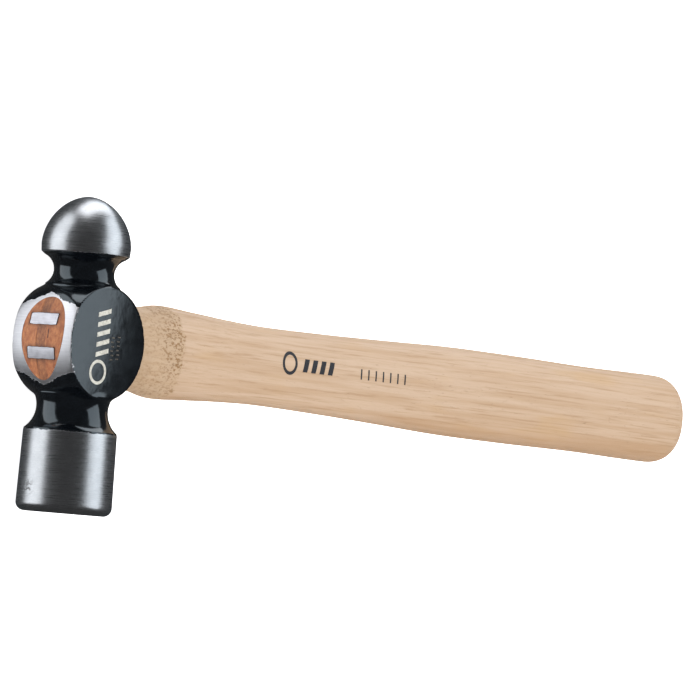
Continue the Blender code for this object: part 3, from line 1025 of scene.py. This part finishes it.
def cheek_bars():
    """Five bars up the cheek, each of which rises a little along its length."""
    left, low, slope = -4.4, -3.6, 0.28
    for i in range(5):
        rows = slanted_bar((left, low + 2.5 * i), 4.6, 1.15, 0.0, 10, 3)
        rows = [[(x, y + slope * (x - left)) for x, y in row] for row in rows]
        yield plate_mesh(rows, cheek_place, MARK_PROUD, MARK_SUNK)


def cheek_stamps():
    """Two columns of six small ticks, every other one set a little aside."""
    for column, x in enumerate((0.9, 3.1)):
        for i in range(6):
            start = (x + 0.25 * (i % 2), -4.0 + 1.1 * i + 0.3 * column)
            yield plate_mesh(slanted_bar(start, 1.1, 0.32, 0.0, 3, 2), cheek_place, STAMP_PROUD, MARK_SUNK)


def handle_bars():
    """Four slanted bars and then seven thin ticks along the handle."""
    for i in range(4):
        rows = slanted_bar((81.6 + 3.5 * i, -0.7), 1.9, 3.5, 0.9)
        yield plate_mesh(rows, handle_surface, MARK_PROUD, MARK_SUNK)
    for i in range(7):
        rows = slanted_bar((106.0 + 3.1 * i, -0.75), 0.55, 2.8, 0.0, 2)
        yield plate_mesh(rows, handle_surface, MARK_PROUD, MARK_SUNK)


def add_marks():
    """Plain printed marks on the cheek and the handle, and a faint stamp on the cheek."""
    ink, paint, stamp = printed_ink(), cheek_paint(), faint_stamp()
    cheek_ring = ring_mesh((-3.0, -7.3), RING_RADIUS, 2.35, cheek_place, MARK_PROUD, MARK_SUNK)
    handle_ring_mark = ring_mesh((76.2, 1.25), RING_RADIUS, 2.2, handle_surface, MARK_PROUD, MARK_SUNK)
    keep(build_mark("cheek_mark", [cheek_ring, *cheek_bars()], paint), "black_lacquer")
    keep(build_mark("cheek_ticks", list(cheek_stamps()), stamp), "black_lacquer")
    keep(build_mark("handle_mark", [handle_ring_mark, *handle_bars()], ink), "hickory")


# ---------------------------------------------------------------- studio

def add_camera():
    """A long lens above the hammer's top, rolled so that the head stands up and the handle runs right."""
    turn, tilt, roll = (math.radians(a) for a in (CAMERA_AZIMUTH, CAMERA_ELEVATION, CAMERA_ROLL))
    forward = Vector((-math.sin(turn) * math.cos(tilt), math.cos(turn) * math.cos(tilt), -math.sin(tilt)))
    level = Vector((math.cos(turn), math.sin(turn), 0.0))
    up = level.cross(forward) * math.cos(roll) + level * math.sin(roll)
    data = bpy.data.cameras.new("camera")
    data.lens = CAMERA_LENS
    camera = bpy.data.objects.new("camera", data)
    rotation = Matrix((forward.cross(up), up, -forward)).transposed().to_4x4()
    place = CENTRE + Vector(CAMERA_AIM) * MM - forward * CAMERA_DISTANCE
    camera.matrix_world = Matrix.Translation(place) @ rotation
    bpy.context.scene.collection.objects.link(camera)
    bpy.context.scene.camera = camera


def add_softbox(
    name, towards, distance, size, radiance, colour=(1.0, 1.0, 1.0),
    twist=0.0, along=(0.0, 1.0, 0.0), shift=0.0, glossy=True,
):
    """A soft light that faces the head from a direction, with its second side turned towards along.

    It is then turned by twist degrees, and it is moved by shift metres towards along.
    """
    data = bpy.data.lights.new(name, "AREA")
    data.shape = "RECTANGLE"
    data.size, data.size_y = size
    data.energy = 4.0 * size[0] * size[1] * radiance
    data.color = colour
    light = bpy.data.objects.new(name, data)
    outward = Vector(towards).normalized()
    across = Vector(along).cross(outward).normalized()
    facing = Matrix((across, outward.cross(across), outward)).transposed()
    facing = facing @ Matrix.Rotation(math.radians(twist), 3, "Z")
    centre = CENTRE + outward * distance + Vector(along) * shift
    light.matrix_world = Matrix.Translation(centre) @ facing.to_4x4()
    light.visible_camera = False
    light.visible_glossy = glossy
    bpy.context.scene.collection.objects.link(light)


def from_angle(degrees):
    """A direction in the plane across the head's axis, degrees up from +X."""
    angle = math.radians(degrees)
    return (math.cos(angle), 0.0, math.sin(angle))


def add_floor(glow):
    """A pale sheet just under the hammer, 3 m from its middle to each side."""
    size, steps = 3.0, 24
    places = [size * (2.0 * i / steps - 1.0) for i in range(steps + 1)]
    points = np.array([(x, y, 0.0) for x in places for y in places]) / MM - np.array(CENTRE) / MM
    points[:, 2] = (FLOOR_HEIGHT - CENTRE.z) / MM - 0.05
    floor = new_object("floor", points, grid_faces(steps + 1, steps + 1, close=False), paper_floor(glow))
    floor.visible_glossy = False
    floor.visible_shadow = False


def add_world(lit, seen):
    """A white surround to the camera, and a dim one to everything it lights."""
    world = bpy.data.worlds.new("studio")
    world.use_nodes = True
    bpy.context.scene.world = world
    tree = world.node_tree
    background = tree.nodes["Background"]
    path = tree.nodes.new("ShaderNodeLightPath")
    mix = tree.nodes.new("ShaderNodeMix")
    mix.data_type = "FLOAT"
    mix.inputs[2].default_value = lit
    mix.inputs[3].default_value = seen
    tree.links.new(path.outputs["Is Camera Ray"], mix.inputs["Factor"])
    tree.links.new(mix.outputs[0], background.inputs["Strength"])
    background.inputs["Color"].default_value = (1.0, 1.0, 1.0, 1.0)


head = build_head(lacquer_and_steel())
keep(head, "black_lacquer", "hammer_head")
handle = build_handle(hickory())
wooden, steels = build_wedges(handle, wedge_wood(), wedge_steel())
for piece in (handle, wooden):
    # Real stain and painted gap shade on the end grain, next to the steel wedges and the eye's rim.
    store(piece, "stain_and_gap_shade", stain_and_gap_shade_at(piece, 0.5, 1.1))
    piece.data.set_sharp_from_angle(angle=math.radians(HANDLE_SHARP_ANGLE))
keep(handle, "hickory", "handle")
keep(wooden, "wedge_wood", "wood_wedge")
for node, piece in steels.items():
    keep(piece, "bare_steel", node)
add_marks()

add_camera()
add_floor(1.0)
add_world(0.06, 1.0)
add_softbox(
    "right_softbox", from_angle(RIGHT_ANGLE), 1.0, (0.85, 1.7), SIDE_RADIANCE, (0.90, 0.96, 1.0),
    twist=RIGHT_TWIST, shift=0.62,
)
add_softbox(
    "left_softbox", from_angle(LEFT_ANGLE), 1.0, (0.90, 1.9), SIDE_RADIANCE, (0.95, 0.98, 1.0), shift=0.68,
)
add_softbox(
    "top_softbox", (0.25, 0.95, -0.05), 1.0, (1.3, 0.6), radiance=1.9, colour=(0.97, 0.98, 1.0),
    along=(0.0, 0.0, 1.0),
)
add_softbox("overhead_fill", (0.0, -0.35, 1.0), 1.6, (2.0, 2.0), radiance=2.25, glossy=False)
bpy.context.scene.view_settings.view_transform = "Standard"
